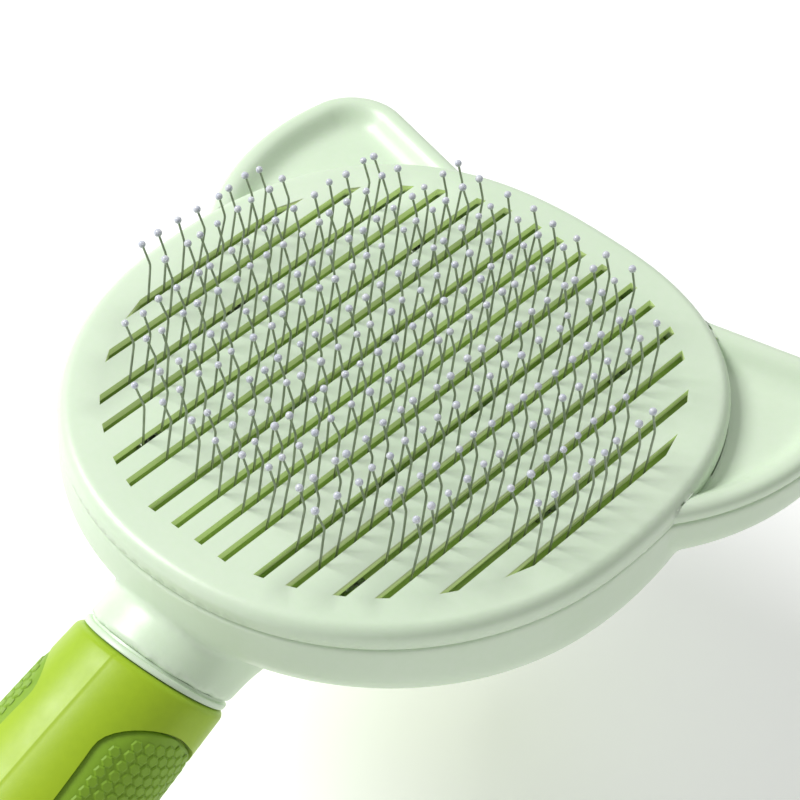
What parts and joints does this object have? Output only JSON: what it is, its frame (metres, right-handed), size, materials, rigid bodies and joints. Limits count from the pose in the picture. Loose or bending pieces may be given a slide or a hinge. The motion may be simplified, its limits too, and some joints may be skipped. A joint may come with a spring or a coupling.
{
  "type": "slicker brush",
  "caption": "Self-cleaning pet slicker brush: slotted round head with ears, bent ball-tipped wire pins, push button on the back and a soft-grip handle.",
  "frame": {"origin": "centre of the push button's flat face, on the back of the head", "axes": "+Z the way the pins point, square to the slotted face; +X from the handle to the ears; +Y across the brush"},
  "size_m": [0.1886, 0.1048, 0.079],
  "materials": {
    "mint_plastic": "satin moulded pale green",
    "button_plastic": "satin moulded lime green",
    "lime_plastic": "satin moulded lime green",
    "lime_grip": "soft satin lime overmould",
    "pad_grip": "matt studded lime rubber",
    "pin_wire": "bright drawn wire",
    "ball_plastic": "clear-white resin bead",
    "screw_steel": "zinc plated",
    "spring_steel": "spring wire"
  },
  "bodies": {
    "frame": {"rear_housing": "mint_plastic", "needle_plate": "lime_plastic", "backing_plate": "lime_plastic", "pin_row_a": "pin_wire", "pin_row_b": "pin_wire", "pin_row_c": "pin_wire", "pin_row_d": "pin_wire", "pin_row_e": "pin_wire", "pin_row_f": "pin_wire", "pin_row_g": "pin_wire", "pin_row_h": "pin_wire", "pin_row_i": "pin_wire", "pin_row_j": "pin_wire", "pin_row_k": "pin_wire", "pin_row_l": "pin_wire", "pin_row_m": "pin_wire", "pin_row_n": "pin_wire", "pin_row_o": "pin_wire", "pin_row_p": "pin_wire", "ball_tips": "ball_plastic", "plate_screws": "screw_steel", "return_springs": "spring_steel", "handle_core": "mint_plastic", "handle_sleeve": "lime_grip", "grip_pad_left": "pad_grip", "grip_pad_right": "pad_grip", "tail": "mint_plastic"},
    "pusher": {"face_shell": "mint_plastic", "push_carrier": "mint_plastic", "back_button": "button_plastic", "shell_screws": "screw_steel"}
  },
  "joints": [
    {"name": "push", "type": "slide", "parent": "frame", "child": "pusher", "axis": [0, 0, 1], "range_m": [0, 0.009], "stiffness_N_per_m": 500, "springref_m": -0.02, "deforming": ["return_springs"]}
  ]
}
